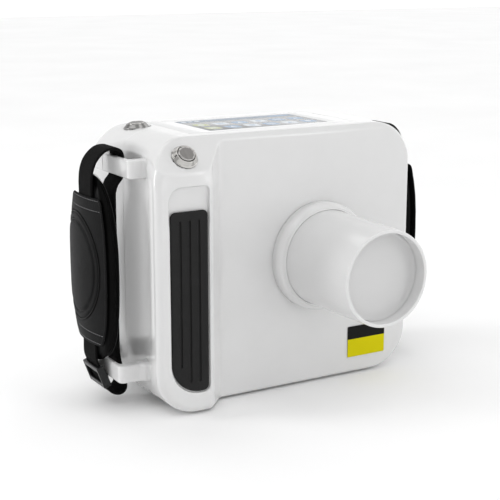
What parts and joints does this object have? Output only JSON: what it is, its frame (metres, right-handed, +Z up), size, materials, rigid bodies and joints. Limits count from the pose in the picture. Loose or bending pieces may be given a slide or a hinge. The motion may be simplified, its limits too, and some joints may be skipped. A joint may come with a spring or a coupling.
{
  "type": "handheld intraoral x-ray unit",
  "caption": "Boxy hand-held dental X-ray unit with a round beam cone, a grip column with a push button, a top touch display and padded side straps.",
  "frame": {"origin": "middle of the unit's footprint, on the surface that its rubber feet stand on", "axes": "+Z up, the beam cone points along -Y, +X is the operator's left as the operator stands behind the unit"},
  "size_m": [0.2696, 0.17, 0.1875],
  "materials": {
    "shell_white": "high-gloss moulded housing",
    "cone_white": "gloss moulded beam cone",
    "display_frame": "gloss moulded display plate",
    "cover_glass": "clear touch glass over a lit colour display",
    "display_dark": "dark display module",
    "button_steel": "turned and polished stainless steel",
    "button_cap": "brushed stainless steel",
    "grip_rubber": "ribbed soft-touch rubber",
    "window_grey": "thin satin plastic window",
    "lead": null,
    "filter_aluminium": "plain aluminium disc",
    "tank_aluminium": "cast and machined tube head",
    "tube_glass": "blown glass envelope",
    "electrode_copper": "copper electrode",
    "coil_brown": "potted high-voltage winding",
    "board_green": "green circuit board",
    "battery_wrap": "shrink-wrapped cells",
    "socket_black": "black moulded insert",
    "plate_yellow": "blank two-field plate",
    "strap_web": "black woven webbing",
    "strap_leather": "black grained leather with stitched edges",
    "strap_lining": "black padded lining",
    "buckle_black": "black moulded slide buckle",
    "foot_rubber": "moulded rubber foot",
    "screw_steel": "plain machine screw"
  },
  "bodies": {
    "housing": {"front_shell": "shell_white", "rear_shell": "shell_white", "display_bezel": "display_frame", "display_glass": "cover_glass", "display_module": "display_dark", "exposure_bezel": "button_steel", "exposure_nut": "button_steel", "power_bezel": "button_steel", "power_nut": "button_steel", "grip_pad": "grip_rubber", "cone_ring": "cone_white", "cone_tube": "cone_white", "cone_window": "window_grey", "cone_liner": "lead", "collimator": "lead", "beam_filter": "filter_aluminium", "tube_tank": "tank_aluminium", "tank_cover": "tank_aluminium", "xray_tube": "tube_glass", "tube_anode": "electrode_copper", "tube_cathode": "filter_aluminium", "hv_transformer": "coil_brown", "hv_multiplier": "board_green", "main_board": "board_green", "sounder": "socket_black", "battery_pack": "battery_wrap", "charge_socket": "socket_black", "rating_plate": "plate_yellow", "lug_top_left": "shell_white", "lug_top_right": "shell_white", "lug_low_left": "shell_white", "lug_low_right": "shell_white", "strap_webbing_left": "strap_web", "strap_pad_left": "strap_lining", "strap_flap_left": "strap_leather", "strap_webbing_right": "strap_web", "strap_pad_right": "strap_lining", "strap_flap_right": "strap_leather", "foot_1": "foot_rubber", "shell_screw_1": "screw_steel", "foot_2": "foot_rubber", "shell_screw_2": "screw_steel", "foot_3": "foot_rubber", "shell_screw_3": "screw_steel", "foot_4": "foot_rubber", "shell_screw_4": "screw_steel"},
    "exposure_plunger": {"exposure_cap": "button_cap"},
    "power_plunger": {"power_cap": "button_cap"},
    "buckle_left": {"strap_buckle_left": "buckle_black"},
    "buckle_right": {"strap_buckle_right": "buckle_black"}
  },
  "joints": [
    {"name": "exposure_press", "type": "slide", "parent": "housing", "child": "exposure_plunger", "axis": [0, 0.7071, -0.7071], "range_m": [0, 0.002], "stiffness_N_per_m": 1200, "springref_m": -0.0008},
    {"name": "power_press", "type": "slide", "parent": "housing", "child": "power_plunger", "axis": [0.0698, 0, -0.9976], "range_m": [0, 0.002], "stiffness_N_per_m": 1200, "springref_m": -0.0008},
    {"name": "buckle_left_slide", "type": "slide", "parent": "housing", "child": "buckle_left", "axis": [-0.3495, 0, 0.9369], "range_m": [0, 0.0025]},
    {"name": "buckle_right_slide", "type": "slide", "parent": "housing", "child": "buckle_right", "axis": [0.3495, 0, 0.9369], "range_m": [0, 0.0025]}
  ]
}
